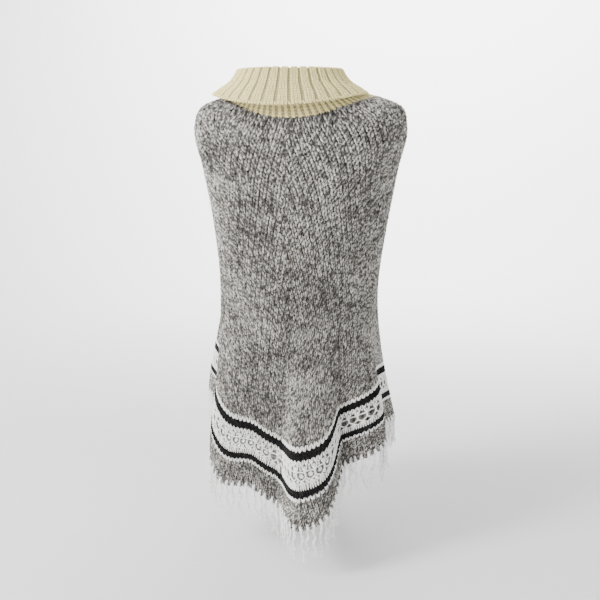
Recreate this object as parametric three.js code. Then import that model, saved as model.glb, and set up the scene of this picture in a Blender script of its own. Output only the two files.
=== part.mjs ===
// Knitted poncho sweater, worn and hollow: marl body, lace band between dark stripes, rolled ribbed
// neck and a knotted fringe. Millimetres, +Z up, front towards -Y, wearer's left towards +X.
// The origin is at the neck base, midway between the two highest points of the neck seam, where the
// shoulders of whoever wears it carry it.
import * as THREE from 'three';

// Driving dimensions.
const KNIT_THICKNESS = 3;
const RIB_THICKNESS = 4;
const FRINGE_THICKNESS = 3;
const SEAM_GAP = 0.3;
const SIDE_LENGTH = 690; // neck seam to hem, measured along the knit over the shoulder
const BORDER_HEIGHT = 67;
const STRIPE_HEIGHT = 15;
const OPENWORK_HEIGHT = 52;
const FRINGE_REACH = 78;
const ROW_EASE = 1.3; // how softly a row leaves the side line on its way down to the centre line

// Facets.
const QUARTER_STEPS = 18;
const PANEL_ROWS = 12;
const PANEL_CROWDING = 1.35; // above 1 the rows of facets lie closer over the shoulders
const OPENWORK_ROWS = 2;
const BORDER_ROWS = 2;
const COLLAR_QUARTER_STEPS = 12;
const COLLAR_ROWS = 11;
const ARC_SAMPLES = 180;

// Rows of knitting. at: share of SIDE_LENGTH below the neck seam. left, right: half widths on the
// wearer's two sides. front, back: reaches. square: exponent of the section, 1 an ellipse and less
// a fuller box. zLeft, zRight, zFront, zBack: heights at the sides and the centre lines. point:
// how sharply the row comes to its point at the centre. shift: sideways place of the section.
const ROWS = [
  { at: 0.00, left: 149, right: 149, front: 96, back: 88, square: 1.00,
    zLeft: 0, zRight: 0, zFront: -38, zBack: -14, point: 0, shift: 0 },
  { at: 0.05, left: 193, right: 191, front: 112, back: 104, square: 0.96,
    zLeft: -18, zRight: -17, zFront: -84, zBack: -52, point: 0.1, shift: 0 },
  { at: 0.11, left: 206, right: 206, front: 122, back: 116, square: 0.93,
    zLeft: -56, zRight: -52, zFront: -126, zBack: -96, point: 0.2, shift: 0 },
  { at: 0.22, left: 190, right: 191, front: 128, back: 122, square: 0.91,
    zLeft: -134, zRight: -130, zFront: -209, zBack: -180, point: 0.3, shift: 0 },
  { at: 0.36, left: 171, right: 170, front: 130, back: 118, square: 0.90,
    zLeft: -236, zRight: -230, zFront: -316, zBack: -288, point: 0.35, shift: -1 },
  { at: 0.50, left: 161, right: 156, front: 122, back: 112, square: 0.88,
    zLeft: -336, zRight: -328, zFront: -428, zBack: -400, point: 0.35, shift: -3 },
  { at: 0.64, left: 160, right: 152, front: 115, back: 118, square: 0.86,
    zLeft: -434, zRight: -424, zFront: -540, zBack: -514, point: 0.35, shift: -7 },
  { at: 0.80, left: 174, right: 152, front: 112, back: 130, square: 0.84,
    zLeft: -550, zRight: -542, zFront: -672, zBack: -660, point: 0.35, shift: -13 },
  { at: 1.00, left: 194, right: 160, front: 110, back: 140, square: 0.82,
    zLeft: -655, zRight: -650, zFront: -803, zBack: -812, point: 0.35, shift: -17 },
];

// Hanging folds. angle: degrees round from the centre front towards the wearer's left. before,
// after: half widths in degrees on either side of it. reach: how far it stands out at the hem.
// start, full: share of SIDE_LENGTH where it begins and where it has its whole reach. lift: how far
// it raises its rows. flat: above 1 the crest is flatter and the walls are steeper. The second row
// stands out no further, and only draws the first fold's tip down.
const FOLDS = [
  { angle: 15, before: 17, after: 22, reach: 80, start: 0.52, full: 0.94, lift: -24, flat: 1.6 },
  { angle: 15, before: 17, after: 22, reach: 0, start: 0.84, full: 1.00, lift: -11, flat: 1.6 },
  { angle: -53, before: 36, after: 38, reach: 22, start: 0.45, full: 1.00, lift: -54, flat: 1.3 },
  { angle: 56, before: 20, after: 28, reach: 38, start: 0.45, full: 0.88, lift: 7, flat: 1.3 },
  { angle: 118, before: 30, after: 22, reach: 30, start: 0.45, full: 1.00, lift: 10, flat: 1.2 },
  { angle: -114, before: 26, after: 26, reach: 66, start: 0.36, full: 1.00, lift: 44, flat: 1.2 },
  { angle: 172, before: 26, after: 22, reach: 45, start: 0.50, full: 1.00, lift: -26, flat: 1.3 },
  { angle: -150, before: 18, after: 16, reach: 20, start: 0.55, full: 1.00, lift: 0, flat: 1.2 },
  { angle: 146, before: 14, after: 16, reach: 16, start: 0.55, full: 1.00, lift: 0, flat: 1.2 },
];

// The ribbed tube of the neck, from its seam up to the fold and down again outside. side, front,
// back: reaches. zSide, zFront, zBack: heights. lean: share of NECK_LEAN that the section has moved.
const NECK_LEAN = { x: -16, y: -19 };
const NECK = [
  { name: 'seam', side: 148.4, front: 95.7, back: 87.7, zSide: 0.4, zFront: -37.2, zBack: -13.2, lean: 0 },
  { name: 'stand foot', side: 127, front: 84, back: 84, zSide: 7, zFront: -13, zBack: 2, lean: 0.3 },
  { name: 'stand', side: 106, front: 71, back: 76, zSide: 18, zFront: 11, zBack: 18, lean: 0.6 },
  { name: 'stand top', side: 93, front: 60, back: 70, zSide: 35, zFront: 35, zBack: 37, lean: 0.9 },
  { name: 'fold inside', side: 90, front: 56, back: 68, zSide: 46, zFront: 47, zBack: 48, lean: 1 },
  { name: 'fold outside', side: 99, front: 65, back: 77, zSide: 48, zFront: 49, zBack: 50, lean: 1 },
  { name: 'turnover top', side: 105, front: 71, back: 83, zSide: 38, zFront: 40, zBack: 41, lean: 1 },
  { name: 'turnover', side: 116, front: 80, back: 91, zSide: 26, zFront: 22, zBack: 27, lean: 1 },
  { name: 'turnover foot', side: 135, front: 90, back: 102, zSide: 14, zFront: 3, zBack: 15, lean: 1 },
  { name: 'edge', side: 149, front: 99, back: 113, zSide: 5, zFront: -15, zBack: 5, lean: 1 },
];

// The four quarters, each running from its side line to a centre line.
const QUARTERS = [
  { name: 'front_left', from: 90, to: 0 },
  { name: 'front_right', from: -90, to: 0 },
  { name: 'back_left', from: 90, to: 180 },
  { name: 'back_right', from: -90, to: -180 },
];

const MARL = { color: 0x8c8a86, roughness: 0.95 };
const BLACK = { color: 0x1c1c1a, roughness: 0.95 };
const WHITE = { color: 0xf0efe8, roughness: 0.95 };
const IVORY = { color: 0xe8e2c4, roughness: 0.95 };
const OFF_WHITE = { color: 0xe9ebe6, roughness: 0.95 };

// Cubic through a table's column, with each slope taken from the two rows around it.
function smoothColumn(table, places, column, at) {
  const last = places.length - 1;
  let k = 0;
  while (k < last - 1 && at >= places[k + 1]) {
    k += 1;
  }
  const value = (i) => table[i][column];
  const rise = (i) => (value(i + 1) - value(i)) / (places[i + 1] - places[i]);
  const slope = (i) => {
    if (i === 0) {
      return rise(0);
    }
    if (i === last) {
      return rise(last - 1);
    }
    const before = places[i] - places[i - 1];
    const after = places[i + 1] - places[i];
    return (rise(i - 1) * after + rise(i) * before) / (before + after);
  };
  const span = places[k + 1] - places[k];
  const t = (at - places[k]) / span;
  const a = (2 * t ** 3 - 3 * t ** 2 + 1) * value(k) + (t ** 3 - 2 * t ** 2 + t) * span * slope(k);
  const b = (3 * t ** 2 - 2 * t ** 3) * value(k + 1) + (t ** 3 - t ** 2) * span * slope(k + 1);
  return a + b;
}

const ROW_PLACES = ROWS.map((row) => row.at);
const rowValue = (column, at) => smoothColumn(ROWS, ROW_PLACES, column, at);

// How far each fold pushes the cloth out, and lifts it, at an angle round and a place down.
function foldOffset(angle, at) {
  let out = 0;
  let lift = 0;
  for (const fold of FOLDS) {
    const away = ((((angle - fold.angle + 180) % 360) + 360) % 360) - 180;
    const width = away < 0 ? fold.before : fold.after;
    const across = Math.min(Math.abs(away) / width, 1) ** fold.flat;
    const crest = 0.5 * (1 + Math.cos(Math.PI * across));
    const down = THREE.MathUtils.smoothstep(at, fold.start, fold.full);
    out += fold.reach * crest * down;
    lift += fold.lift * crest * down;
  }
  return { out, lift };
}

// A row seen from above: a squared ellipse, with its folds standing out square to it.
function planPoint(angle, at) {
  const radians = THREE.MathUtils.degToRad(angle);
  const s = Math.sin(radians);
  const c = Math.cos(radians);
  const halfWidth = rowValue(s >= 0 ? 'left' : 'right', at);
  const reach = rowValue(c >= 0 ? 'front' : 'back', at);
  const square = rowValue('square', at);
  const normal = new THREE.Vector2(s / halfWidth, -c / reach).normalize();
  const { out, lift } = foldOffset(angle, at);
  const x = halfWidth * Math.sign(s) * Math.abs(s) ** square;
  const y = -reach * Math.sign(c) * Math.abs(c) ** square;
  return { x: x + normal.x * out + rowValue('shift', at), y: y + normal.y * out, lift };
}

// The angle at which a row has run a share of its length from the side line to the centre line.
const arcTables = new Map();
function angleAt(quarter, share, at) {
  const key = `${quarter.name} ${at.toFixed(6)}`;
  if (!arcTables.has(key)) {
    const lengths = [0];
    let last = planPoint(quarter.from, at);
    for (let i = 1; i <= ARC_SAMPLES; i += 1) {
      const next = planPoint(quarter.from + ((quarter.to - quarter.from) * i) / ARC_SAMPLES, at);
      lengths.push(lengths[i - 1] + Math.hypot(next.x - last.x, next.y - last.y));
      last = next;
    }
    arcTables.set(key, lengths);
  }
  const lengths = arcTables.get(key);
  const wanted = share * lengths[ARC_SAMPLES];
  let i = 0;
  while (i < ARC_SAMPLES - 1 && lengths[i + 1] < wanted) {
    i += 1;
  }
  const within = (wanted - lengths[i]) / (lengths[i + 1] - lengths[i]);
  return quarter.from + ((quarter.to - quarter.from) * (i + within)) / ARC_SAMPLES;
}

function quarterLength(quarter, at) {
  angleAt(quarter, 1, at);
  return arcTables.get(`${quarter.name} ${at.toFixed(6)}`)[ARC_SAMPLES];
}

const roundedShare = (share) => (1 - Math.cos(Math.PI * share)) / 2;

// A point of the body's middle surface.
function bodyPoint(quarter, share, at) {
  const plan = planPoint(angleAt(quarter, share, at), at);
  const zSide = rowValue(quarter.from > 0 ? 'zLeft' : 'zRight', at);
  const zCentre = rowValue(quarter.to === 0 ? 'zFront' : 'zBack', at);
  const point = rowValue('point', at);
  const dip = (1 - point) * roundedShare(share) + point * share ** ROW_EASE;
  return new THREE.Vector3(plan.x, plan.y, zSide + (zCentre - zSide) * dip + plan.lift);
}

// The other quarter that meets this one at the centre line, or at the side line.
function neighbour(quarter, atCentre) {
  return QUARTERS.find((other) => other !== quarter && (atCentre
    ? Math.abs(other.to) === Math.abs(quarter.to)
    : other.from === quarter.from));
}

// Outward normal of the body. On a seam it is the mean of both sides, so that the two walls meet.
function bodyNormal(quarter, share, at, shared = true) {
  const step = 0.004;
  const low = Math.max(share - step, 0);
  const high = Math.min(share + step, 1);
  const up = Math.max(at - step, 0);
  const down = Math.min(at + step, 1);
  const across = bodyPoint(quarter, high, at).sub(bodyPoint(quarter, low, at));
  const along = bodyPoint(quarter, share, down).sub(bodyPoint(quarter, share, up));
  const normal = across.cross(along).normalize();
  const outward = quarter.from > 0 === (quarter.to === 0) ? 1 : -1;
  normal.multiplyScalar(outward);
  if (shared && (share === 0 || share === 1)) {
    normal.add(bodyNormal(neighbour(quarter, share === 1), share, at, false)).normalize();
  }
  return normal;
}

// A closed wall from a grid of middle points and normals. A ring's last column joins its first.
function wallGeometry(points, normals, thickness, ring) {
  const rows = points.length;
  const columns = points[0].length;
  const vertices = [];
  for (const side of [0.5, -0.5]) {
    for (let i = 0; i < rows; i += 1) {
      for (let j = 0; j < columns; j += 1) {
        const at = points[i][j].clone().addScaledVector(normals[i][j], side * thickness);
        vertices.push(at.x, at.y, at.z);
      }
    }
  }
  const index = (side, i, j) => side * rows * columns + i * columns + (j % columns);
  const triangles = [];
  const quad = (a, b, c, d) => triangles.push(a, b, c, a, c, d);
  const spans = ring ? columns : columns - 1;
  for (let i = 0; i < rows - 1; i += 1) {
    for (let j = 0; j < spans; j += 1) {
      quad(index(0, i, j), index(0, i + 1, j), index(0, i + 1, j + 1), index(0, i, j + 1));
      quad(index(1, i, j), index(1, i, j + 1), index(1, i + 1, j + 1), index(1, i + 1, j));
    }
  }
  for (let j = 0; j < spans; j += 1) {
    quad(index(0, 0, j), index(0, 0, j + 1), index(1, 0, j + 1), index(1, 0, j));
    const end = rows - 1;
    quad(index(0, end, j), index(1, end, j), index(1, end, j + 1), index(0, end, j + 1));
  }
  if (!ring) {
    const end = columns - 1;
    for (let i = 0; i < rows - 1; i += 1) {
      quad(index(0, i, 0), index(1, i, 0), index(1, i + 1, 0), index(0, i + 1, 0));
      quad(index(0, i, end), index(0, i + 1, end), index(1, i + 1, end), index(1, i, end));
    }
  }
  const geometry = new THREE.BufferGeometry();
  geometry.setAttribute('position', new THREE.Float32BufferAttribute(vertices, 3));
  geometry.setIndex(triangles);
  geometry.computeVertexNormals();
  return geometry;
}

const model = new THREE.Group();
function addMesh(name, geometry, finish) {
  const material = new THREE.MeshStandardMaterial({ ...finish, metalness: 0 });
  const mesh = new THREE.Mesh(geometry, material);
  mesh.name = name;
  model.add(mesh);
}

// Columns run so that the outer face keeps one winding on the left and on the right.
const isMirrored = (quarter) => (quarter.from > 0) !== (quarter.to === 0);

// Shares of a row at which a quarter has its columns, each end half a seam gap short.
function columnShares(quarter, at) {
  const trim = SEAM_GAP / 2 / quarterLength(quarter, at);
  const shares = [];
  for (let j = 0; j <= QUARTER_STEPS; j += 1) {
    shares.push({ place: THREE.MathUtils.clamp(j / QUARTER_STEPS, trim, 1 - trim), seam: j / QUARTER_STEPS });
  }
  return isMirrored(quarter) ? shares : shares.reverse();
}

// One quarter of the knit between two places down, each half a seam gap short.
function knitQuarter(quarter, top, bottom, rows, crowding = 1) {
  const trim = SEAM_GAP / 2 / SIDE_LENGTH;
  const points = [];
  const normals = [];
  for (let i = 0; i <= rows; i += 1) {
    const share = (i / rows) ** crowding;
    const at = THREE.MathUtils.clamp(top + (bottom - top) * share, top + trim, bottom - trim);
    const columns = columnShares(quarter, at);
    points.push(columns.map((column) => bodyPoint(quarter, column.place, at)));
    normals.push(columns.map((column) => bodyNormal(quarter, column.seam, at)));
  }
  return wallGeometry(points, normals, KNIT_THICKNESS, false);
}

// The fringe's reach below one quarter of the hem, hanging straight down.
function fringeQuarter(quarter) {
  const hem = columnShares(quarter, 1);
  const points = [SEAM_GAP, FRINGE_REACH].map((drop) => hem.map((column) => {
    const point = bodyPoint(quarter, column.place, 1);
    point.z -= drop;
    return point;
  }));
  const level = hem.map((column) => bodyNormal(quarter, column.seam, 1).setZ(0).normalize());
  return wallGeometry(points, [level, level], FRINGE_THICKNESS, false);
}

// A point of the rolled neck's middle surface, a number of sections up from the seam.
const NECK_PLACES = NECK.map((section, i) => i);
const neckValue = (column, at) => smoothColumn(NECK, NECK_PLACES, column, at);
function neckPoint(quarter, share, at) {
  const radians = THREE.MathUtils.degToRad(angleAt(quarter, share, 0));
  const reach = neckValue(quarter.to === 0 ? 'front' : 'back', at);
  const zSide = neckValue('zSide', at);
  const zCentre = neckValue(quarter.to === 0 ? 'zFront' : 'zBack', at);
  const lean = neckValue('lean', at);
  return new THREE.Vector3(
    neckValue('side', at) * Math.sin(radians) + NECK_LEAN.x * lean,
    -reach * Math.cos(radians) + NECK_LEAN.y * lean,
    zSide + (zCentre - zSide) * roundedShare(share),
  );
}

// The rolled neck, all round, as one folded wall.
function rolledNeck() {
  const columns = [];
  for (const [name, reversed] of [['front_left', true], ['back_left', false],
    ['back_right', true], ['front_right', false]]) {
    const quarter = QUARTERS.find((one) => one.name === name);
    for (let j = 0; j < COLLAR_QUARTER_STEPS; j += 1) {
      const share = j / COLLAR_QUARTER_STEPS;
      columns.push({ quarter, share: reversed ? 1 - share : share });
    }
  }
  const points = [];
  for (let i = 0; i <= COLLAR_ROWS; i += 1) {
    const at = ((NECK.length - 1) * (COLLAR_ROWS - i)) / COLLAR_ROWS;
    points.push(columns.map((column) => neckPoint(column.quarter, column.share, at)));
  }
  const normals = points.map((row, i) => row.map((point, j) => {
    const next = row[(j + 1) % row.length];
    const before = row[(j + row.length - 1) % row.length];
    const above = points[Math.max(i - 1, 0)][j];
    const below = points[Math.min(i + 1, COLLAR_ROWS)][j];
    return below.clone().sub(above).cross(next.clone().sub(before)).normalize();
  }));
  return wallGeometry(points, normals, RIB_THICKNESS, true);
}

// Sections of the knit from the hem up, as shares of the length from the neck seam.
const borderTop = 1 - BORDER_HEIGHT / SIDE_LENGTH;
const lowerStripeTop = borderTop - STRIPE_HEIGHT / SIDE_LENGTH;
const openworkTop = lowerStripeTop - OPENWORK_HEIGHT / SIDE_LENGTH;
const upperStripeTop = openworkTop - STRIPE_HEIGHT / SIDE_LENGTH;
const SECTIONS = [
  { name: 'panel', top: 0, bottom: upperStripeTop, rows: PANEL_ROWS, crowding: PANEL_CROWDING, finish: MARL },
  { name: 'upper_stripe', top: upperStripeTop, bottom: openworkTop, rows: 1, finish: BLACK },
  { name: 'openwork', top: openworkTop, bottom: lowerStripeTop, rows: OPENWORK_ROWS, finish: WHITE },
  { name: 'lower_stripe', top: lowerStripeTop, bottom: borderTop, rows: 1, finish: BLACK },
  { name: 'hem_border', top: borderTop, bottom: 1, rows: BORDER_ROWS, finish: MARL },
];

for (const quarter of QUARTERS) {
  for (const { name, top, bottom, rows, crowding, finish } of SECTIONS) {
    addMesh(`${name}_${quarter.name}`, knitQuarter(quarter, top, bottom, rows, crowding), finish);
  }
  addMesh(`fringe_${quarter.name}`, fringeQuarter(quarter), OFF_WHITE);
}
addMesh('rolled_neck', rolledNeck(), IVORY);

export default model;
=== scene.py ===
import bpy
import numpy as np
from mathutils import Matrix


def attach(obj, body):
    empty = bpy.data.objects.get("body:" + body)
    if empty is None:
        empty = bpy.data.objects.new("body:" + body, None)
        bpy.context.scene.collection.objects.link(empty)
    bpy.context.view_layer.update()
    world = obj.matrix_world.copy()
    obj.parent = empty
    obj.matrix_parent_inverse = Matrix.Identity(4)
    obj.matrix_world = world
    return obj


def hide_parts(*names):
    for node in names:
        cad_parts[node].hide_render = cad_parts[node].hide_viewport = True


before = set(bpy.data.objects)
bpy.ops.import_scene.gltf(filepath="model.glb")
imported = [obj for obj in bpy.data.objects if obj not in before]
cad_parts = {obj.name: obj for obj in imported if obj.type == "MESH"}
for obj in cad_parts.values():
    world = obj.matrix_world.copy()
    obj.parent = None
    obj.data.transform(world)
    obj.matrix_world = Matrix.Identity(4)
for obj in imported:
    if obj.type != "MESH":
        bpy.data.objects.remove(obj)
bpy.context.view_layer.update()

# Knitted poncho sweater. Lengths are millimetres up to the meshes, which are metres.
MM = 0.001
rng = np.random.default_rng(7)

# ------------------------------------------------------------------- sizes of the garment and gauge
SIDE_LENGTH = 690.0      # neck seam to hem along the knit
KNIT_ROWS = 93           # rows of bulky yarn, 7.4 mm each
ROW_HEIGHT = SIDE_LENGTH / KNIT_ROWS
STITCH_WIDTH = 9.0
ROW_EASE = 1.3
NECK_WALES = 18.5        # stitches in a quarter at the neck seam
HEM_WALES = {"front_left": 44.0, "front_right": 31.0, "back_left": 38.0, "back_right": 42.0}

# Bands, in rows down from the neck seam.
BORDER_ROWS = 8
LINE_ROWS = 1            # the row of white above and below the stripes
STRIPE_ROWS = 2
LACE_ROWS = 7
border_top = KNIT_ROWS - BORDER_ROWS
lower_top = border_top - LINE_ROWS - STRIPE_ROWS
lace_top = lower_top - LACE_ROWS
upper_top = lace_top - STRIPE_ROWS

# Heights from the cloth's middle surface.
STITCH_RISE = 2.8
STRIPE_RISE = 3.4        # the black yarn is bulkier, and laps over the white rows beside it
STITCH_SINK = -0.8
GROUND_OUT = -0.2        # the cloth behind the stitches
GROUND_IN = -1.5

# Rows of knitting, as the solids have them. at: share of SIDE_LENGTH below the neck seam.
ROW_COLUMNS = (
    "at", "left", "right", "front", "back", "square",
    "z_left", "z_right", "z_front", "z_back", "point", "shift",
)
ROWS = np.array([
    (0.00, 149, 149,  96,  88, 1.00,    0,    0,  -38,  -14, 0.00,   0),
    (0.05, 193, 191, 112, 104, 0.96,  -18,  -17,  -84,  -52, 0.10,   0),
    (0.11, 206, 206, 122, 116, 0.93,  -56,  -52, -126,  -96, 0.20,   0),
    (0.22, 190, 191, 128, 122, 0.91, -134, -130, -209, -180, 0.30,   0),
    (0.36, 171, 170, 130, 118, 0.90, -236, -230, -316, -288, 0.35,  -1),
    (0.50, 161, 156, 122, 112, 0.88, -336, -328, -428, -400, 0.35,  -3),
    (0.64, 160, 152, 115, 118, 0.86, -434, -424, -540, -514, 0.35,  -7),
    (0.80, 174, 152, 112, 130, 0.84, -550, -542, -672, -660, 0.35, -13),
    (1.00, 194, 160, 110, 140, 0.82, -655, -650, -803, -812, 0.35, -17),
])

# Hanging folds. angle: degrees round from the centre front towards the wearer's left. before, after:
# half widths. reach: how far it stands out. start, full: where it begins and is whole.
FOLD_COLUMNS = ("angle", "before", "after", "reach", "start", "full", "lift", "flat")
FOLDS = np.array([
    (  15, 17, 22, 80, 0.52, 0.94, -24, 1.6),
    (  15, 17, 22,  0, 0.84, 1.00, -11, 1.6),
    ( -53, 36, 38, 22, 0.45, 1.00, -54, 1.3),
    (  56, 20, 28, 38, 0.45, 0.88,   7, 1.3),
    ( 118, 30, 22, 30, 0.45, 1.00,  10, 1.2),
    (-114, 26, 26, 66, 0.36, 1.00,  44, 1.2),
    ( 172, 26, 22, 45, 0.50, 1.00, -26, 1.3),
    (-150, 18, 16, 20, 0.55, 1.00,   0, 1.2),
    ( 146, 14, 16, 16, 0.55, 1.00,   0, 1.2),
])

# Slack in the hanging cloth: height in mm, waves round, waves down, and where round they start.
RIPPLES = np.array([
    (1.7, 3,  1.6, 0.3),
    (1.2, 5, -2.3, 1.9),
    (0.9, 8,  3.1, 4.0),
])

# The rolled neck's sections, from its seam up to the fold and down again outside.
NECK_LEAN = (-16.0, -19.0)
NECK_COLUMNS = ("side", "front", "back", "z_side", "z_front", "z_back", "lean")
NECK = np.array([
    (148.4, 95.7,  87.7,  0.4, -37.2, -13.2, 0.0),
    (127.0, 84.0,  84.0,  7.0, -13.0,   2.0, 0.3),
    (106.0, 71.0,  76.0, 18.0,  11.0,  18.0, 0.6),
    ( 93.0, 60.0,  70.0, 35.0,  35.0,  37.0, 0.9),
    ( 90.0, 56.0,  68.0, 46.0,  47.0,  48.0, 1.0),
    ( 99.0, 65.0,  77.0, 48.0,  49.0,  50.0, 1.0),
    (105.0, 71.0,  83.0, 38.0,  40.0,  41.0, 1.0),
    (116.0, 80.0,  91.0, 26.0,  22.0,  27.0, 1.0),
    (135.0, 90.0, 102.0, 14.0,   3.0,  15.0, 1.0),
    (149.0, 99.0, 113.0,  5.0, -15.0,   5.0, 1.0),
])
NECK_STITCHES = 144
RIB = 4                  # three knit and one purl
NECK_ROWS = 36
FOLD_ROW = 18            # the row that lies along the top of the roll
NECK_STITCH_WIDTH = 4.6
NECK_RISE = 1.2
NECK_ROW_HEIGHT = 4.3

# Each quarter runs from its side line to a centre line, in degrees round from the centre front.
QUARTERS = {
    "front_left": (90, 0),
    "front_right": (-90, 0),
    "back_left": (90, 180),
    "back_right": (-90, -180),
}
# The order of the quarters round a whole row, and whether each is walked from its side line.
ROUND = (("front_left", True), ("front_right", False), ("back_right", True), ("back_left", False))


# ------------------------------------------------------------------------------ the cloth's surface
def smooth_column(places, values, at):
    """Cubic through a table's column: the slope at each row is the mean of the rises before and after
    it, each weighted by the other's distance."""
    gap = np.diff(places)
    rise = np.diff(values) / gap
    inner = (rise[:-1] * gap[1:] + rise[1:] * gap[:-1]) / (gap[1:] + gap[:-1])
    slope = np.concatenate([rise[:1], inner, rise[-1:]])
    k = np.clip(np.searchsorted(places, at, side="right") - 1, 0, len(places) - 2)
    t = (at - places[k]) / gap[k]
    start = (2 * t**3 - 3 * t**2 + 1) * values[k] + (t**3 - 2 * t**2 + t) * gap[k] * slope[k]
    return start + (3 * t**2 - 2 * t**3) * values[k + 1] + (t**3 - t**2) * gap[k] * slope[k + 1]


def row_value(name, at):
    """A column of ROWS at a place down the cloth."""
    return smooth_column(ROWS[:, 0], ROWS[:, ROW_COLUMNS.index(name)], at)


def neck_value(name, at):
    """A column of NECK, a number of sections up from the seam."""
    return smooth_column(np.arange(len(NECK), dtype=float), NECK[:, NECK_COLUMNS.index(name)], at)


def smoothstep(x):
    """0 below 0, 1 above 1, and 3x^2 - 2x^3 between."""
    x = np.clip(x, 0, 1)
    return x * x * (3 - 2 * x)


def plan(angle, at):
    """A row seen from above: a squared ellipse, x = width * sin^square, y = -reach * cos^square. Each
    fold is a raised cosine across its width, and each ripple a sine round times a sine down; both
    stand out square to the plain ellipse."""
    radians = np.radians(angle)
    s, c = np.sin(radians), np.cos(radians)
    width = np.where(s >= 0, row_value("left", at), row_value("right", at))
    reach = np.where(c >= 0, row_value("front", at), row_value("back", at))
    square = row_value("square", at)
    out, lift = 0.0, 0.0
    for height, waves, down, start in RIPPLES:
        out = out + height * np.sin(waves * radians + start) * np.sin(2 * np.pi * down * at + start)
    out = out * smoothstep(at / 0.12)
    for fold in FOLDS:
        f = dict(zip(FOLD_COLUMNS, fold))
        away = (angle - f["angle"] + 180) % 360 - 180
        across = np.minimum(np.abs(away) / np.where(away < 0, f["before"], f["after"]), 1) ** f["flat"]
        grown = smoothstep((at - f["start"]) / (f["full"] - f["start"]))
        crest = 0.5 * (1 + np.cos(np.pi * across)) * grown
        out, lift = out + f["reach"] * crest, lift + f["lift"] * crest
    normal = np.array([s / width, -c / reach])
    normal = normal / np.hypot(*normal)
    x = width * np.sign(s) * np.abs(s) ** square + normal[0] * out + row_value("shift", at)
    y = -reach * np.sign(c) * np.abs(c) ** square + normal[1] * out
    return x, y, lift


def quarter_grid(name, places, shares, fine=721):
    """Points of one quarter's middle surface: a row is cut into shares of its own length from the side
    line to the centre line, and falls from z_side to z_centre by a half cosine with a soft point."""
    low, high = QUARTERS[name]
    at = places[:, None]
    angle = np.linspace(low, high, fine)[None, :]
    x, y, lift = plan(angle, at + 0 * angle)
    steps = np.hypot(np.diff(x, axis=1), np.diff(y, axis=1))
    run = np.concatenate([np.zeros((len(places), 1)), np.cumsum(steps, axis=1)], axis=1)
    run = run / run[:, -1:]
    x, y, lift = [
        np.array([np.interp(shares, r, v) for r, v in zip(run, values)]) for values in (x, y, lift)
    ]
    z_side = row_value("z_left" if low > 0 else "z_right", at)
    z_centre = row_value("z_front" if high == 0 else "z_back", at)
    point = row_value("point", at)
    dip = (1 - point) * (1 - np.cos(np.pi * shares)) / 2 + point * shares**ROW_EASE
    return np.stack([x, y, z_side + (z_centre - z_side) * dip + lift], axis=-1)


def unit(vectors):
    """Vectors made one long."""
    return vectors / np.maximum(np.linalg.norm(vectors, axis=-1, keepdims=True), 1e-9)


def grid_normals(points):
    """Unit normals of a grid, the cross product of its differences down and across."""
    return unit(np.cross(np.gradient(points, axis=0), np.gradient(points, axis=1)))


class Surface:
    """A sampled middle surface and its outward normals, read between samples in straight lines."""

    def __init__(self, points, normals, closed=False):
        self.points, self.normals, self.closed = points, normals, closed
        lean = np.cross(points[1:, :-1] - points[:-1, :-1], points[:-1, 1:] - points[:-1, :-1])
        self.inward_winding = float((lean * normals[:-1, :-1]).sum()) < 0

    def place(self, share, at, height):
        """The point at a share along its row, a share down, and a height out from the surface. Past the
        upper and lower ends the surface runs straight on."""
        rows, columns = self.points.shape[:2]
        share = share % 1 if self.closed else np.clip(share, 0, 1)
        i, j = at * (rows - 1), share * (columns - 1)
        i0, j0 = np.clip(i.astype(int), 0, rows - 2), np.minimum(j.astype(int), columns - 2)
        fi, fj = (i - i0)[..., None], (j - j0)[..., None]

        def read(grid):
            top = grid[i0, j0] * (1 - fj) + grid[i0, j0 + 1] * fj
            low = grid[i0 + 1, j0] * (1 - fj) + grid[i0 + 1, j0 + 1] * fj
            return top * (1 - fi) + low * fi

        return read(self.points) + read(self.normals) * height[..., None]

    def turned(self):
        """The same cloth seen from its other face."""
        return Surface(self.points, -self.normals, self.closed)


def make_surfaces():
    """The four quarters, with their normals averaged where they meet."""
    places, shares = np.linspace(0, 1, 4 * KNIT_ROWS + 1), np.linspace(0, 1, 161)
    grids = {name: quarter_grid(name, places, shares) for name in QUARTERS}
    normals = {}
    for name, grid in grids.items():
        normal = grid_normals(grid)
        outward = (grid[..., :2] * normal[..., :2]).sum() > 0
        normals[name] = normal if outward else -normal
    for one, two, edge in (
        ("front_left", "front_right", -1), ("back_left", "back_right", -1),
        ("front_left", "back_left", 0), ("front_right", "back_right", 0),
    ):
        shared = unit(normals[one][:, edge] + normals[two][:, edge])
        normals[one][:, edge] = normals[two][:, edge] = shared
    return {name: Surface(grids[name], normals[name]) for name in QUARTERS}


surfaces = make_surfaces()


def wales(name, at):
    """Stitches in a quarter's row: as many as at the neck seam, and growing evenly to the hem, where
    one more is made beside the centre line every few rows."""
    return NECK_WALES + (HEM_WALES[name] - NECK_WALES) * at


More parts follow.
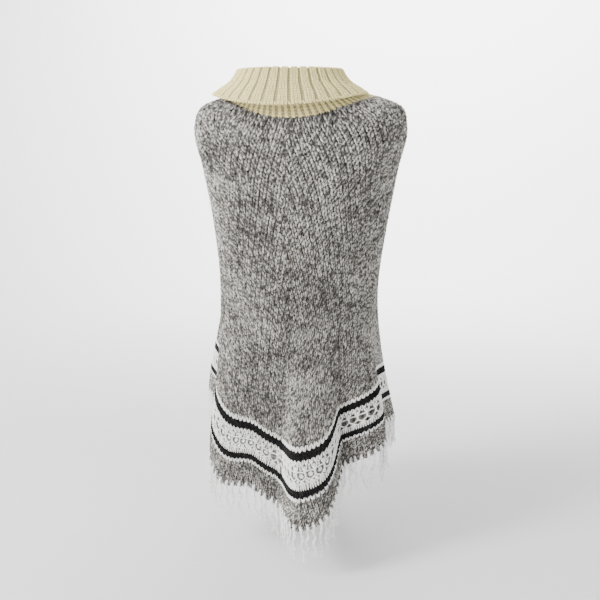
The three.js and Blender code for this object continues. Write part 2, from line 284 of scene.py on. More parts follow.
# ------------------------------------------------------------------------------------- mesh helpers
def new_piece(name, data, material, slot=None, nodes=()):
    """A mesh object at the origin from points in millimetres and quads; given a slot, it rides on the one
    body.
    """
    points, faces = data["points"], data["faces"]
    mesh = bpy.data.meshes.new(name)
    mesh.vertices.add(len(points))
    mesh.vertices.foreach_set("co", (points * MM).astype(np.float32).ravel())
    mesh.loops.add(faces.size)
    mesh.loops.foreach_set("vertex_index", faces.astype(np.int32).ravel())
    mesh.polygons.add(len(faces))
    mesh.polygons.foreach_set("loop_start", np.arange(0, faces.size, 4, dtype=np.int32))
    if "uv" in data:
        corners = data["uv"].astype(np.float32)[faces.ravel()]
        mesh.uv_layers.new(name="yarn").uv.foreach_set("vector", corners.ravel())
    if "tone" in data:
        attribute = mesh.attributes.new("tone", "FLOAT", "POINT")
        attribute.data.foreach_set("value", data["tone"].astype(np.float32))
    mesh.update(calc_edges=True)
    mesh.polygons.foreach_set("use_smooth", np.ones(len(faces), dtype=bool))
    mesh.materials.append(material)
    piece = bpy.data.objects.new(name, mesh)
    bpy.context.scene.collection.objects.link(piece)
    if slot:
        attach(piece, "root")
    if nodes:
        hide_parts(*nodes)
    return piece


def grid_faces(rows, columns):
    """Quads of a grid of points, row after row."""
    i, j = np.meshgrid(np.arange(rows - 1), np.arange(columns - 1), indexing="ij")
    a = (i * columns + j).ravel()
    return np.stack([a, a + columns, a + columns + 1, a + 1], axis=1)


def repeated(faces, count, size):
    """The faces of one small mesh of so many points, for as many copies."""
    return (faces[None] + (np.arange(count) * size)[:, None, None]).reshape(-1, 4)


def joined(parts):
    """Several meshes as one."""
    start = np.cumsum([0] + [len(p["points"]) for p in parts[:-1]])
    faces = np.concatenate([p["faces"] + s for p, s in zip(parts, start)])
    values = {key: np.concatenate([p[key] for p in parts]) for key in ("points", "uv", "tone")}
    return {"faces": faces} | values


# --------------------------------------------------------------------------------- yarn on the cloth
ACROSS = np.array([-1.0, -0.42, 0.42, 1.0])      # where the points of a yarn's section lie
YARN_ENDS = 0.13         # how far into its swell a yarn begins and ends
YARN_ARCH = 1.7          # above 1 the yarn rises late and dips early
BODY_GAUGE = (STITCH_WIDTH, ROW_HEIGHT)


def strands(surface, count_at, rows, ends, half, rise, steps=5, gauge=BODY_GAUGE, ease=0.6):
    """Lengths of yarn lying on the cloth, each on a curve through start, pull and end in stitches
    across and rows down: (1-s)^2 start + 2s(1-s) pull + s^2 end. The section is half an ellipse, and
    the yarn is widest and highest at its middle, where it swells by sin(pi s) to the ease."""
    n = len(ends)
    s = np.linspace(0, 1, steps)[None, :, None]
    start, pull, end = ends[:, None, 0], ends[:, None, 1], ends[:, None, 2]
    line = (1 - s) ** 2 * start + 2 * s * (1 - s) * pull + s**2 * end
    way = ((1 - s) * (pull - start) + s * (end - pull)) * np.array(gauge)
    square = np.stack([-way[..., 1], way[..., 0]], axis=-1)
    square = unit(square) / np.array(gauge)
    swell = np.sin(np.pi * (YARN_ENDS + (1 - 2 * YARN_ENDS) * s[..., 0])) ** ease
    half = np.broadcast_to(np.asarray(half, dtype=float), (n,))[:, None, None]
    rise = np.broadcast_to(np.asarray(rise, dtype=float), (n,))[:, None, None]
    width = (half * swell[..., None]) * ACROSS
    place = line[:, :, None, :] + square[:, :, None, :] * width[..., None]
    section = np.sqrt(1 - (0.98 * ACROSS) ** 2)
    height = STITCH_SINK + (rise - STITCH_SINK) * (swell**YARN_ARCH)[..., None] * section
    at = place[..., 1] / rows
    points = surface.place(place[..., 0] / count_at(np.clip(at, 0, 1)), at, height)
    size = steps * len(ACROSS)
    faces = repeated(grid_faces(steps, len(ACROSS)), n, size)
    if float(np.cross(start[0] - end[0], square[0, 0])) < 0:
        faces = faces[:, ::-1]
    if surface.inward_winding:
        faces = faces[:, ::-1]
    length = np.linalg.norm((ends[:, 2] - ends[:, 0]) * np.array(gauge), axis=1)[:, None, None]
    along = rng.uniform(0, 1, (n, 1, 1)) + s * length * MM + 0 * ACROSS
    uv = np.stack([along, np.broadcast_to(0.5 + 0.5 * ACROSS, along.shape)], axis=-1)
    tone = np.repeat(rng.normal(0, 1, n), size)
    return {"points": points.reshape(-1, 3), "faces": faces, "uv": uv.reshape(-1, 2), "tone": tone}


LEG_HALF_WIDTH = 0.19    # of a stitch
LEG_FOOT = (0.10, 1.12)
LEG_PULL = (0.22, 0.60)
LEG_TOP = (0.34, -0.18)


def stitches(
    surface, count_at, wale, row, rows,
    rise=STITCH_RISE, gauge=BODY_GAUGE, width=LEG_HALF_WIDTH, ease=0.6,
):
    """Knit stitches: two legs each, which rise from the foot of the V and part towards its top."""
    parts = []
    for side in (-1, 1):
        ends = np.array([LEG_FOOT, LEG_PULL, LEG_TOP])[None] * np.array([side, 1.0])
        ends = ends + np.stack([wale + 0.5, row], axis=-1)[:, None, :]
        ends = ends + rng.normal(0, 0.025, (len(wale), 1, 2)) + rng.normal(0, 0.018, (len(wale), 3, 2))
        half = width * gauge[0] * rng.normal(1, 0.06, len(wale))
        height = rise * rng.normal(1, 0.07, len(wale))
        parts.append(strands(surface, count_at, rows, ends, half, height, gauge=gauge, ease=ease))
    return joined(parts)


def chart(name, first, last):
    """Wale and row of every stitch of a quarter's rows. A stitch keeps its wale down the cloth."""
    counts = [int(wales(name, (r + 0.5) / KNIT_ROWS) + 0.6) for r in range(first, last)]
    wale = np.concatenate([np.arange(n) for n in counts]).astype(float)
    return wale, np.repeat(np.arange(first, last), counts).astype(float)


def cast_off(quarter):
    """The hem's edge: a slanting loop round the foot of every stitch of the last row."""
    wale = np.arange(int(wales(quarter, 1.0)))[:, None, None]
    ends = np.array([(-0.10, 0.02), (0.45, 0.62), (1.08, 0.16)])[None] + np.array([1.0, 0.0]) * wale
    ends = ends + np.array([0.0, KNIT_ROWS]) + rng.normal(0, 0.05, (len(wale), 1, 2))
    return strands(surfaces[quarter], lambda at: wales(quarter, at), KNIT_ROWS, ends, 1.9, 3.2, ease=0.45)


def knit(name, quarter, first, last, material, slot, nodes=(), rise=STITCH_RISE):
    """The stitches of some rows of a quarter, and the hem's edge below the last one."""
    wale, row = chart(quarter, first, last)
    data = stitches(surfaces[quarter], lambda at: wales(quarter, at), wale, row, KNIT_ROWS, rise)
    if last == KNIT_ROWS:
        data = joined([data, cast_off(quarter)])
    return new_piece(f"{name}_{quarter}", data, material, slot, nodes)


def tube(outer, inner, keep=None, uv_scale=(1.0, 1.0)):
    """A closed wall from two grids of points whose rows are rings: both faces, and an edge wherever a
    quad that is kept meets one that isn't, or the end of the cloth."""
    rows, columns = outer.shape[:2]
    i, j = np.meshgrid(np.arange(rows - 1), np.arange(columns), indexing="ij")
    right = (j + 1) % columns
    a, b = i * columns + j, (i + 1) * columns + j
    c, d = (i + 1) * columns + right, i * columns + right
    keep = np.ones(i.shape, dtype=bool) if keep is None else keep
    n = rows * columns
    front = np.stack([a, b, c, d], axis=-1)
    back = front[..., ::-1] + n
    open_above = np.vstack([np.ones((1, columns), dtype=bool), ~keep[:-1]])
    open_below = np.vstack([~keep[1:], np.ones((1, columns), dtype=bool)])
    parts = [front[keep], back[keep]]
    for gone, p, q in (
        (open_above, d, a), (open_below, b, c),
        (~np.roll(keep, 1, axis=1), a, b), (~np.roll(keep, -1, axis=1), c, d),
    ):
        edge = np.stack([q, p, p + n, q + n], axis=-1)
        parts.append(edge[keep & gone])
    faces = np.concatenate(parts)
    points = np.concatenate([outer.reshape(-1, 3), inner.reshape(-1, 3)])
    used = np.unique(faces)
    new = np.zeros(2 * n, dtype=int)
    new[used] = np.arange(len(used))
    lean = np.cross(outer[1:, :-1] - outer[:-1, :-1], outer[:-1, 1:] - outer[:-1, :-1])
    faces = new[faces]
    if float((lean * (outer - inner)[:-1, :-1]).sum()) < 0:
        faces = faces[:, ::-1]
    ring = np.linspace(0, uv_scale[0], columns, endpoint=False)
    uv = np.stack(np.meshgrid(ring, np.linspace(0, uv_scale[1], rows)), axis=-1).reshape(-1, 2)
    return {"points": points[used], "faces": faces, "uv": np.concatenate([uv, uv])[used]}


def ring_of(first, last, steps, per_quarter, out, inside):
    """Rings of outer and inner points all round the garment between two rows."""
    at = np.linspace(first, last, steps + 1)[:, None] / KNIT_ROWS
    grids, places = [], []
    for quarter, from_side in ROUND:
        share = np.linspace(0, 1, per_quarter + 1)[None, :]
        share = (share if from_side else 1 - share)[:, :-1] + 0 * at
        level = at + 0 * share
        pair = [surfaces[quarter].place(share, level, np.full(share.shape, h)) for h in (out, inside)]
        grids.append(pair)
        places.append(np.stack([share * wales(quarter, level), level * KNIT_ROWS], axis=-1))
    outer, inner = [np.concatenate([g[k] for g in grids], axis=1) for k in (0, 1)]
    return outer, inner, np.concatenate(places, axis=1)


GROUND_COLUMNS = 48      # in a quarter


def ground(name, first, last, steps, material, slot):
    """The cloth behind the stitches, as one wall all round."""
    outer, inner, _ = ring_of(first, last, steps, GROUND_COLUMNS, GROUND_OUT, GROUND_IN)
    around = sum(wales(q, first / KNIT_ROWS) for q in QUARTERS)
    return new_piece(name, tube(outer, inner, uv_scale=(around, last - first)), material, slot)


# ---------------------------------------------------------------------------------------- materials
def linear(colour):
    """sRGB hex to linear RGBA: below 0.04045 a twelfth, above it the 2.4 power curve."""
    value = np.array([int(colour[i:i + 2], 16) for i in (1, 3, 5)]) / 255
    value = np.where(value <= 0.04045, value / 12.92, ((value + 0.055) / 1.055) ** 2.4)
    return (*value.tolist(), 1.0)


def add(tree, kind, inputs=None, **settings):
    """A node with its settings, its input values and its links."""
    node = tree.nodes.new(kind)
    for key, value in settings.items():
        setattr(node, key, value)
    for key, value in (inputs or {}).items():
        if isinstance(value, bpy.types.NodeSocket):
            tree.links.new(value, node.inputs[key])
        else:
            node.inputs[key].default_value = value
    return node


def new_material(name, roughness=0.92, sheen=0.2):
    """A yarn's base: rough, hardly glossy, with the soft sheen of its loose fibres."""
    material = bpy.data.materials.new(name)
    material.use_nodes = True
    tree = material.node_tree
    shader = tree.nodes["Principled BSDF"]
    shader.inputs["Roughness"].default_value = roughness
    shader.inputs["Specular IOR Level"].default_value = 0.2
    shader.inputs["Sheen Weight"].default_value = sheen
    shader.inputs["Sheen Roughness"].default_value = 0.5
    return material, tree, shader


PLY_MM = 5.0             # one turn of the twist along the yarn
PLY_RELIEF = 0.6
PURL_RELIEF = 1.5
ONE_A_UNIT = 0.314       # a wave texture's scale for one band to each unit of its vector


def plies(tree, shader, strength):
    """Plies twisted round the yarn, as slanting bands on its own UV: along it and across it."""
    uv = add(tree, "ShaderNodeUVMap", uv_map="yarn")
    turns = (1 / (PLY_MM * MM), 1.0, 1.0)
    spread = add(tree, "ShaderNodeMapping", {"Vector": uv.outputs["UV"], "Scale": turns})
    ply = add(
        tree, "ShaderNodeTexWave",
        {"Vector": spread.outputs["Vector"], "Scale": 0.31, "Distortion": 0.9, "Detail": 1.0},
        wave_type="BANDS", bands_direction="DIAGONAL",
    )
    bump = add(
        tree, "ShaderNodeBump",
        {"Height": ply.outputs["Fac"], "Strength": strength, "Distance": PLY_RELIEF * MM},
    )
    tree.links.new(bump.outputs["Normal"], shader.inputs["Normal"])
    return ply


def marl(name, dark, middle, light, strength):
    """Marled wool blend, near-black and off-white plies twisted together: each stitch shows some of
    both, and the shade drifts in clouds where one ply lies uppermost."""
    material, tree, shader = new_material(name, sheen=0.03)
    ply = plies(tree, shader, strength)
    place = add(tree, "ShaderNodeTexCoord").outputs["Object"]
    stretched = add(tree, "ShaderNodeMapping", {"Vector": place, "Scale": (1.0, 1.0, 2.2)})
    cloud = add(
        tree, "ShaderNodeTexNoise",
        {"Vector": stretched.outputs["Vector"], "Scale": 9.0, "Detail": 4.0, "Roughness": 0.6},
    )
    fleck = add(
        tree, "ShaderNodeTexNoise",
        {"Vector": place, "Scale": 420.0, "Detail": 1.0, "Roughness": 0.6},
    )
    tone = add(tree, "ShaderNodeAttribute", attribute_name="tone")
    value = fleck.outputs["Fac"]
    for part, weight in ((ply, 0.35), (cloud, 0.6), (tone, 0.10)):
        weighed = add(
            tree, "ShaderNodeMath",
            {0: part.outputs["Fac"], 1: weight, 2: value},
            operation="MULTIPLY_ADD",
        )
        value = weighed.outputs[0]
    ramp = add(tree, "ShaderNodeMapRange", {"Value": value, "From Min": 0.50, "From Max": 1.34})
    colour = add(tree, "ShaderNodeValToRGB", {"Fac": ramp.outputs["Result"]})
    colour.color_ramp.elements[0].color = linear(dark)
    colour.color_ramp.elements[1].color = linear(light)
    colour.color_ramp.elements.new(0.5).color = linear(middle)
    tree.links.new(colour.outputs["Color"], shader.inputs["Base Color"])
    return material


def shade(tree, shader, height, top, light, dark):
    """Painted shade: the base colour runs from the dark colour, painted as the shade in the hollows, to the
    light one on top.
    """
    ramp = add(tree, "ShaderNodeMapRange", {"Value": height.outputs[0], "From Min": 0.4, "From Max": top})
    colour = add(
        tree, "ShaderNodeMix",
        {"Factor": ramp.outputs["Result"], "A": linear(dark), "B": linear(light)},
        data_type="RGBA",
    )
    tree.links.new(colour.outputs["Result"], shader.inputs["Base Color"])


def plain_yarn(name, light, dark, strength=0.5, sheen=0.2):
    """A yarn of one dye: the darker colour is painted shade between the fibres and the plies."""
    material, tree, shader = new_material(name, sheen=sheen)
    ply = plies(tree, shader, strength)
    place = add(tree, "ShaderNodeTexCoord").outputs["Object"]
    fibre = add(
        tree, "ShaderNodeTexNoise",
        {"Vector": place, "Scale": 240.0, "Detail": 2.0, "Roughness": 0.6},
    )
    mixed = add(tree, "ShaderNodeMath", {0: fibre.outputs["Fac"], 1: ply.outputs["Fac"]}, operation="ADD")
    shade(tree, shader, mixed, 1.3, light, dark)
    return material


def purl_side(name, light, dark):
    """The purl face of plain knitting: a bump to each stitch, counted by the UV map in stitches across
    and rows down. Its colours are painted shade for the cloth's hollows, darkest in the hollows of the
    bumps."""
    material, tree, shader = new_material(name)
    uv = add(tree, "ShaderNodeUVMap", uv_map="yarn").outputs["UV"]
    across, down = [
        add(
            tree, "ShaderNodeTexWave",
            {"Vector": uv, "Scale": ONE_A_UNIT, "Distortion": distortion},
            bands_direction=way,
        ).outputs["Fac"]
        for way, distortion in (("X", 0.6), ("Y", 0.8))
    ]
    both = add(tree, "ShaderNodeMath", {0: across, 1: down}, operation="MULTIPLY")
    bump = add(
        tree, "ShaderNodeBump",
        {"Height": both.outputs[0], "Strength": 0.8, "Distance": PURL_RELIEF * MM},
    )
    tree.links.new(bump.outputs["Normal"], shader.inputs["Normal"])
    place = add(tree, "ShaderNodeTexCoord").outputs["Object"]
    fleck = add(
        tree, "ShaderNodeTexNoise",
        {"Vector": place, "Scale": 150.0, "Detail": 3.0, "Roughness": 0.65},
    )
    mixed = add(tree, "ShaderNodeMath", {0: fleck.outputs["Fac"], 1: both.outputs[0]}, operation="ADD")
    shade(tree, shader, mixed, 1.5, light, dark)
    return material


marl_yarn = marl("marled wool blend, near-black and off-white plies", "#1c1b1a", "#65625e", "#d8d4cd", 0.5)
# Each purl side's colours are painted shade: dark for the cloth's hollows, darkest in the hollows of its
# bumps.
marl_purl_painted_shade = purl_side("marled wool blend, purl side, darkened as painted shade", "#6c6966", "#1c1b1a")
# Each plain yarn's second, darker colour is painted shade between its fibres and plies.
black_yarn = plain_yarn("dyed wool blend, black", "#1b1a19", "#0b0b0b", sheen=0.05)
black_purl = purl_side("dyed wool blend, black, purl side", "#1d1c1b", "#080808")
white_yarn = plain_yarn("bleached wool blend, white", "#fdfdf9", "#e6e4dc")
white_purl_painted_shade = purl_side("bleached wool blend, white, purl side", "#96948e", "#4f4e4b")
ivory_yarn = plain_yarn("undyed wool blend, ivory, rib", "#fff1ae", "#f6e598", strength=0.35)
ivory_purl_painted_shade = purl_side("undyed wool blend, ivory, ground, darkened as painted shade", "#d8cc9c", "#a0946a")
loose_yarn = plain_yarn("loose off-white strand, twisted", "#ffffff", "#eceee9", strength=0.35)


# ----------------------------------------------------------------------------------- the knitted body
panel, upper_line, upper_stripe, lower_stripe, lower_line, border = [], [], [], [], [], []
for q in QUARTERS:
    panel.append(knit("panel_stitches", q, 0, upper_top - LINE_ROWS, marl_yarn, "grey_marl", [f"panel_{q}"]))
    upper_line.append(knit("upper_line", q, upper_top - LINE_ROWS, upper_top, white_yarn, "white_lace"))
    for name, top, pieces in (("upper", upper_top, upper_stripe), ("lower", lower_top, lower_stripe)):
        pieces.append(knit(
            f"{name}_stripe_stitches", q, top, top + STRIPE_ROWS, black_yarn, "black_knit",
            [f"{name}_stripe_{q}"], STRIPE_RISE,
        ))
    lower_line.append(knit("lower_line", q, lower_top + STRIPE_ROWS, border_top, white_yarn, "white_lace"))
    border.append(knit(
        "hem_border_stitches", q, border_top, KNIT_ROWS, marl_yarn, "grey_marl", [f"hem_border_{q}"],
    ))

# The marl cloth behind the stitches is painted dark, as the shade between the stitches.
body_cloth = ground("body_cloth", 0, upper_top, 60, marl_purl_painted_shade, "grey_marl")
upper_cloth = ground("upper_stripe_cloth", upper_top, lace_top, 2, black_purl, "black_knit")
lower_cloth = ground("lower_stripe_cloth", lower_top, lower_top + STRIPE_ROWS, 2, black_purl, "black_knit")
border_cloth = ground("hem_border_cloth", lower_top + STRIPE_ROWS, KNIT_ROWS, 9, marl_purl_painted_shade, "grey_marl")


# -------------------------------------------------------------------------------------- the openwork
# One repeat is two stitches wide and seven rows high. Two holes stand over each other between the
# posts, and a third is below each post, where it parts. Yarns: start, pull and end, in stitches from
# the post towards the centre line and rows down the band, with half width and height in millimetres.
LACE_REPEAT = 2
LACE_PLAIN_ROWS = 1
LACE_YARNS = np.array([
    # start        pull          end          half rise
    ( 0.00, 1.20,  0.00, 2.60,  0.00, 4.10,  1.9, 3.3),
    ( 0.45, 0.90,  0.50, 1.80,  0.08, 2.70,  1.4, 2.8),
    ( 1.50, 0.90,  1.52, 1.80,  1.92, 2.70,  1.4, 2.8),
    ( 0.98, 0.90,  0.95, 1.10,  1.00, 1.35,  1.7, 2.8),
    ( 0.10, 2.85,  0.90, 2.15,  1.92, 2.60,  1.2, 2.9),
    ( 0.00, 3.80,  0.30, 4.25,  0.95, 4.80,  1.4, 3.1),
    ( 2.00, 3.80,  1.70, 4.25,  1.05, 4.80,  1.4, 2.9),
    ( 1.00, 4.50,  1.00, 5.80,  0.98, 7.12,  1.7, 3.0),
    ( 0.80, 4.80,  0.60, 5.60,  0.48, 7.12,  1.5, 2.6),
    ( 1.20, 4.80,  1.40, 5.60,  1.50, 7.12,  1.5, 2.6),
    ( 0.00, 5.55,  0.00, 6.30,  0.00, 7.12,  1.7, 2.7),
    ( 0.70, 5.15,  0.35, 5.35,  0.02, 5.75,  1.1, 2.3),
    ( 1.30, 5.15,  1.65, 5.35,  1.98, 5.75,  1.1, 2.3),
])
# Holes: middle in stitches and rows, half height and half width in millimetres, and slant in degrees.
LACE_HOLES = np.array([
    (1.02, 1.85, 3.4, 2.0,  18),
    (1.00, 3.45, 4.6, 3.9,  10),
    (0.00, 4.90, 3.8, 3.2, -12),
])
MITRE_WALES = 2.2        # the cloth is whole this near the centre line
NET_COLUMNS = 168        # in a quarter
NET_STEPS = 5            # in a row
NET_PURLS = 120          # bumps of the purl side all round


def lace(quarter):
    """The openwork yarns of a quarter, with a plain row above them."""
    count = lambda at: wales(quarter, at)
    surface = surfaces[quarter]
    wale, row = chart(quarter, lace_top, lace_top + LACE_PLAIN_ROWS)
    plain = stitches(surface, count, wale, row, KNIT_ROWS)
    repeats = int(count(lace_top / KNIT_ROWS) // LACE_REPEAT) + 1
    ends = LACE_YARNS[None, :, :6].reshape(1, -1, 3, 2) + np.array([0.0, lace_top])
    ends = ends + (np.arange(repeats) * LACE_REPEAT)[:, None, None, None] * np.array([1.0, 0.0])
    ends = ends.reshape(-1, 3, 2) + rng.normal(0, 0.05, (repeats * len(LACE_YARNS), 3, 2))
    half, rise = [np.tile(LACE_YARNS[:, k], repeats) for k in (6, 7)]
    shown = ends[:, :, 0].min(axis=1) < count(lower_top / KNIT_ROWS) - 0.3
    yarns = strands(surface, count, KNIT_ROWS, ends[shown], half[shown], rise[shown], steps=7, ease=0.35)
    return joined([plain, yarns])


def lace_net():
    """The cloth between the holes, all round: a quad is left out where it lies in one of the slanted
    ellipses of the repeat."""
    outer, inner, places = ring_of(
        lace_top, lower_top, NET_STEPS * LACE_ROWS, NET_COLUMNS, GROUND_OUT + 0.3, GROUND_IN,
    )
    middle = (places[:-1] + places[1:]) / 2
    middle = (middle + np.roll(middle, -1, axis=1)) / 2
    x, y = middle[..., 0], middle[..., 1] - lace_top
    mitre = np.concatenate([
        np.full(NET_COLUMNS, wales(quarter, lace_top / KNIT_ROWS)) for quarter, _ in ROUND
    ])
    keep = np.ones(x.shape, dtype=bool)
    for hx, hy, tall, wide, slant in LACE_HOLES:
        turn = np.radians(slant)
        dx = ((x - hx + LACE_REPEAT / 2) % LACE_REPEAT - LACE_REPEAT / 2) * STITCH_WIDTH
        dy = (y - hy) * ROW_HEIGHT
        u, v = dx * np.cos(turn) + dy * np.sin(turn), dy * np.cos(turn) - dx * np.sin(turn)
        keep &= ((u / wide) ** 2 + (v / tall) ** 2 > 1) | (x > mitre - MITRE_WALES)
    return tube(outer, inner, keep, uv_scale=(NET_PURLS, LACE_ROWS))


openwork = [
    new_piece(f"openwork_yarns_{q}", lace(q), white_yarn, "white_lace", [f"openwork_{q}"]) for q in QUARTERS
]
# The white cloth between the holes is painted grey, as the shade around and inside the holes.
lace_cloth = new_piece("openwork_cloth", lace_net(), white_purl_painted_shade, "white_lace")


# ---------------------------------------------------------------------------------- the rolled neck
def neck_surface(rows=181, columns=577):
    """The rolled neck's middle surface: an ellipse at each section, leaning forward as it rises, with
    heights that go from the sides to the centres by the square of the cosine."""
    at = np.linspace(0, len(NECK) - 1, rows)[:, None]
    radians = np.linspace(0, 2 * np.pi, columns)[None, :]
    s, c = np.sin(radians), np.cos(radians)
    reach = np.where(c >= 0, neck_value("front", at), neck_value("back", at))
    z_centre = np.where(c >= 0, neck_value("z_front", at), neck_value("z_back", at))
    z_side, lean = neck_value("z_side", at), neck_value("lean", at)
    points = np.stack([
        neck_value("side", at) * s + NECK_LEAN[0] * lean,
        -reach * c + NECK_LEAN[1] * lean,
        z_side + (z_centre - z_side) * c**2,
    ], axis=-1)
    normals = grid_normals(points)
    normals[:, [0, -1]] = unit(normals[:, :1] + normals[:, -1:])
    outward = (points[0, :, :2] * normals[0, :, :2]).sum() > 0
    return Surface(points, normals if outward else -normals, closed=True)


neck = neck_surface()
RIB_RELIEF = 2.3
GROOVE = 0.42            # half width of the trough, in stitches
NECK_GAUGE = (NECK_STITCH_WIDTH, NECK_ROW_HEIGHT)
STAND_ROWS = 9           # rows of the stand that show below the turnover


def rib_relief(stitch):
    """Height of the ribbing across a repeat: level over the knit stitches, with a narrow trough on the
    purl one."""
    across = (stitch % RIB) - (RIB - 0.5)
    troughs = np.exp(-((across / GROOVE) ** 2)), np.exp(-(((across + RIB) / GROOVE) ** 2))
    return RIB_RELIEF * (1 - troughs[0] - troughs[1])


def neck_count(at):
    """Stitches in every row of the neck."""
    return NECK_STITCHES + 0 * at


def neck_cloth():
    """The neck's wall, ribbed on both faces."""
    columns, rows = NECK_STITCHES * 3, 40
    share = np.arange(columns)[None, :] / columns + np.zeros((rows + 1, 1))
    at = np.linspace(0, 1, rows + 1)[:, None] + 0 * share
    relief = rib_relief(share * NECK_STITCHES)
    outer = neck.place(share, at, GROUND_OUT + 0.3 * relief)
    inner = neck.place(share, at, -GROUND_OUT - relief)
    return tube(outer, inner, uv_scale=(NECK_STITCHES, NECK_ROWS))


def neck_stitches(surface, first, last, knit_at, rise, width):
    """Knit stitches of the rows, on the wales of the repeat that are knit on this face."""
    wale, row = np.meshgrid(np.arange(NECK_STITCHES), np.arange(first, last))
    shown = np.isin(wale % RIB, knit_at)
    wale, row = wale[shown].astype(float), row[shown].astype(float)
    return stitches(surface, neck_count, wale, row, NECK_ROWS, rise, NECK_GAUGE, width, ease=0.3)


def cast_on():
    """The turnover's edge: a slanting loop on every stitch of the first row."""
    wale = np.arange(NECK_STITCHES)[:, None, None]
    ends = np.array([(0.0, -1.1), (0.4, -0.5), (1.0, 0.05)])[None] + np.array([1.0, 0.0]) * wale
    ends = ends + np.array([0.0, NECK_ROWS])
    return strands(neck.turned(), neck_count, NECK_ROWS, ends, 1.7, 3.0, gauge=NECK_GAUGE, ease=0.5)


# The neck's ground is painted a darker ivory than its yarn, as the shade between the ribs.
neck_ground = new_piece("rolled_neck_cloth", neck_cloth(), ivory_purl_painted_shade, "ivory_rib")
turnover = joined([
    neck_stitches(neck.turned(), FOLD_ROW - 1, NECK_ROWS, (0, 1, 2), RIB_RELIEF + NECK_RISE, 0.30),
    cast_on(),
])
turnover = new_piece("neck_turnover_stitches", turnover, ivory_yarn, "ivory_rib", ["rolled_neck"])
stand = neck_stitches(neck, 0, STAND_ROWS, (1, 3), NECK_RISE + 0.8, 0.44)
stand = new_piece("neck_stand_stitches", stand, ivory_yarn, "ivory_rib")


# ------------------------------------------------------------------------------------------ fringe
FRINGE_SPACING = 14.5
FRINGE_STEPS = 16
FRINGE_LENGTHS = (64, 80)
STRAND_RADIUS = 1.8
HEX = np.linspace(0, 2 * np.pi, 6, endpoint=False)
UP = np.array([0, 0, 1.0])


def tubes(paths, radius):
    """Round yarns along paths of points: a hexagon square to the path at each point, scaled by the
    radius there, with both ends closed."""
    n, steps = paths.shape[:2]
    way = unit(np.gradient(paths, axis=1))
    side = unit(np.cross(way, np.array([0.0, 1.0, 0.0])))
    up = np.cross(way, side)
    turn = HEX[None, None, :, None]
    ring = paths[:, :, None] + radius[..., None, None] * (
        side[:, :, None] * np.cos(turn) + up[:, :, None] * np.sin(turn)
    )
    k = np.arange(6)
    a = (np.arange(steps - 1)[:, None] * 6 + k).ravel()
    b = (np.arange(steps - 1)[:, None] * 6 + (k + 1) % 6).ravel()
    wall = np.stack([a, b, b + 6, a + 6], axis=1)
    caps = np.array([(3, 2, 1, 0), (5, 4, 3, 0)])
    last = (steps - 1) * 6
    faces = np.concatenate([wall, caps, last + caps[:, ::-1]])
    length = np.linalg.norm(paths[:, -1] - paths[:, 0], axis=1)[:, None, None]
    along = np.linspace(0, 1, steps)[None, :, None] * length
    uv = np.stack(np.broadcast_arrays(along * MM + 0 * HEX, HEX / (2 * np.pi)), axis=-1)
    tone = np.repeat(rng.normal(0, 1, n), steps * 6)
    faces = repeated(faces, n, steps * 6)
    return {"points": ring.reshape(-1, 3), "faces": faces, "uv": uv.reshape(-1, 2), "tone": tone}


def fringe(quarter):
    """Tassels along a quarter's hem: two strands drawn through the edge, knotted, and left to hang in
    slow waves that grow towards their thin ends."""
    surface = surfaces[quarter]
    edge = surface.points[-1]
    run = np.concatenate([[0], np.cumsum(np.linalg.norm(np.diff(edge, axis=0), axis=1))])
    n = int(round(run[-1] / FRINGE_SPACING))
    spot = (np.arange(n) + 0.5) * run[-1] / n + rng.normal(0, 1.1, n)
    share = np.interp(spot, run, np.linspace(0, 1, len(edge)))
    top = surface.place(share, np.full(n, 1 - 2.0 / SIDE_LENGTH), np.full(n, 0.9))
    ahead, behind = [surface.place(share + step, np.ones(n), np.zeros(n)) for step in (0.01, -0.01)]
    along = unit(ahead - behind)
    along[:, 2] = 0
    out = unit(np.cross(along, UP))
    out *= np.sign((out * top).sum(axis=1, keepdims=True))
    t = np.linspace(0, 1, FRINGE_STEPS)[None, :, None]
    length = rng.uniform(*FRINGE_LENGTHS, n)[:, None, None]
    lean = rng.normal(0, 5.0, (n, 1, 1))
    sway = rng.normal(0, 3.0, (n, 1, 1))
    waves, phase = rng.uniform(1.2, 2.4, (n, 1, 1)), rng.uniform(0, 2 * np.pi, (n, 1, 1))
    wave = 2.6 * np.sin(2 * np.pi * waves * t + phase) * smoothstep(3 * t)
    parts = []
    for side in (-1, 1):
        twist = 2 * np.pi * (1.1 * t) + phase + (0 if side > 0 else np.pi)
        apart = 1.15 + rng.uniform(0.2, 3.6, (n, 1, 1)) * smoothstep((t - 0.6) / 0.4)
        across = wave + lean * t**1.5 + apart * np.cos(twist)
        forward = sway * t**1.5 + apart * 0.8 * np.sin(twist)
        fall = length * t * rng.uniform(0.9, 1.0, (n, 1, 1))
        path = top[:, None] + along[:, None] * across + out[:, None] * forward - UP * fall
        taper = 1 - 0.5 * smoothstep((t[..., 0] - 0.35) / 0.65)
        radius = STRAND_RADIUS * taper * rng.normal(1, 0.08, (n, 1))
        radius = radius * (1 + 0.08 * np.sin(9 * np.pi * t[..., 0] + phase[..., 0]))
        parts.append(tubes(path, radius))
    k = np.linspace(0, 1, 7)[None, :, None]
    knot = top[:, None] + out[:, None] * 0.8 + UP * (3.5 - 9.0 * k)
    parts.append(tubes(knot, 1.0 + 2.4 * np.sin(np.pi * k[..., 0]) ** 0.7 * rng.normal(1, 0.1, (n, 1))))
    wale = share * wales(quarter, 1.0)
    for side in (-1, 1):
        ends = np.array([(0.05, -1.5), (0.22, -0.7), (0.08, 0.0)])[None] * np.array([side, 1.0])
        ends = ends + np.stack([wale, np.full(n, KNIT_ROWS)], axis=-1)[:, None]
        parts.append(strands(surface, lambda at: wales(quarter, at), KNIT_ROWS, ends, 1.3, 3.6, ease=0.4))
    return joined(parts)


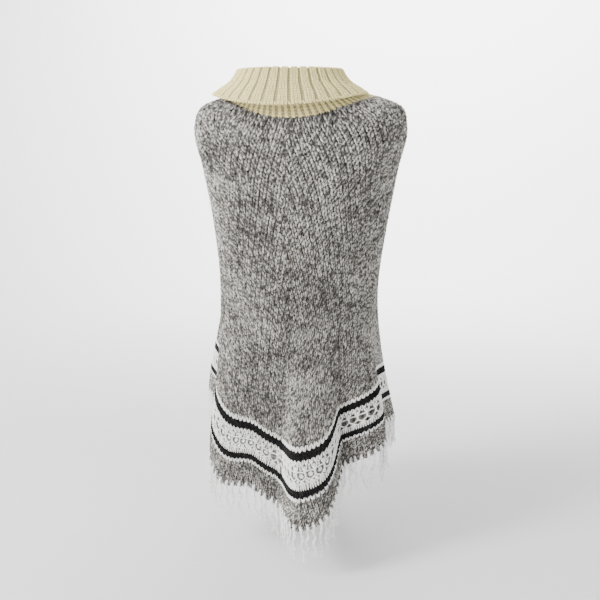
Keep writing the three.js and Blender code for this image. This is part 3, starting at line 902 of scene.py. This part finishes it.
fringes = [
    new_piece(f"fringe_strands_{q}", fringe(q), loose_yarn, "fringe_yarn", [f"fringe_{q}"])
    for q in QUARTERS
]


# ---------------------------------------------------------------------------------------- the studio
CAMERA_AWAY = 1.5
CAMERA_TURN = np.radians(12.5)
CAMERA_DOWN = np.radians(13.75)
CAMERA_HEIGHT = -0.033

camera_data = bpy.data.cameras.new("camera")
camera_data.lens = 45.36
camera = bpy.data.objects.new("camera", camera_data)
camera.location = (CAMERA_AWAY * np.sin(CAMERA_TURN), -CAMERA_AWAY * np.cos(CAMERA_TURN), CAMERA_HEIGHT)
camera.rotation_euler = (np.pi / 2 - CAMERA_DOWN, 0, CAMERA_TURN)
bpy.context.scene.collection.objects.link(camera)
bpy.context.scene.camera = camera

FLOOR = -914.0           # just below the fringe
STUDIO_REACH = 3600.0    # where the floor has risen by the height below
STUDIO_HEIGHT = 2000.0
STUDIO_STEPS = 81


def backdrop():
    """A pale floor that turns up into a wall all round, outside every view: the height is the eighth
    power of the distance from the middle."""
    side = np.linspace(-1.15, 1.15, STUDIO_STEPS) * STUDIO_REACH
    x, y = np.meshgrid(side, side)
    z = FLOOR + STUDIO_HEIGHT * (np.hypot(x, y) / STUDIO_REACH) ** 8
    material = bpy.data.materials.new("matt painted studio board, pale grey")
    material.use_nodes = True
    shader = material.node_tree.nodes["Principled BSDF"]
    shader.inputs["Base Color"].default_value = linear("#f0f0f0")
    shader.inputs["Roughness"].default_value = 0.9
    points = np.stack([x, y, z], axis=-1).reshape(-1, 3)
    data = {"points": points, "faces": grid_faces(STUDIO_STEPS, STUDIO_STEPS)[:, ::-1]}
    new_piece("backdrop", data, material)


backdrop()


def area_light(name, place, aim, power, size):
    """A soft square light facing a point."""
    data = bpy.data.lights.new(name, "AREA")
    data.energy, data.size = power, size
    light = bpy.data.objects.new(name, data)
    way = np.array(aim) - np.array(place)
    light.location = place
    light.visible_camera = False
    tilt = np.arctan2(np.hypot(way[0], way[1]), -way[2])
    light.rotation_euler = (tilt, 0, np.arctan2(way[1], way[0]) - np.pi / 2)
    bpy.context.scene.collection.objects.link(light)


area_light("front", (-2.0, -1.5, 1.5), (0, 0, -0.45), 120, 0.8)
area_light("side", (-2.3, -0.9, 0.5), (0, 0, -0.4), 22, 1.2)
area_light("back", (-0.3, 2.7, 1.2), (0, 0, -0.4), 5, 1.8)
area_light("wall", (0.0, 2.1, 1.6), (0, 4.4, 0.0), 290, 2.4)

world = bpy.data.worlds.new("studio")
world.use_nodes = True
world.node_tree.nodes["Background"].inputs["Color"].default_value = linear("#f2f3f5")
world.node_tree.nodes["Background"].inputs["Strength"].default_value = 0.17
bpy.context.scene.world = world
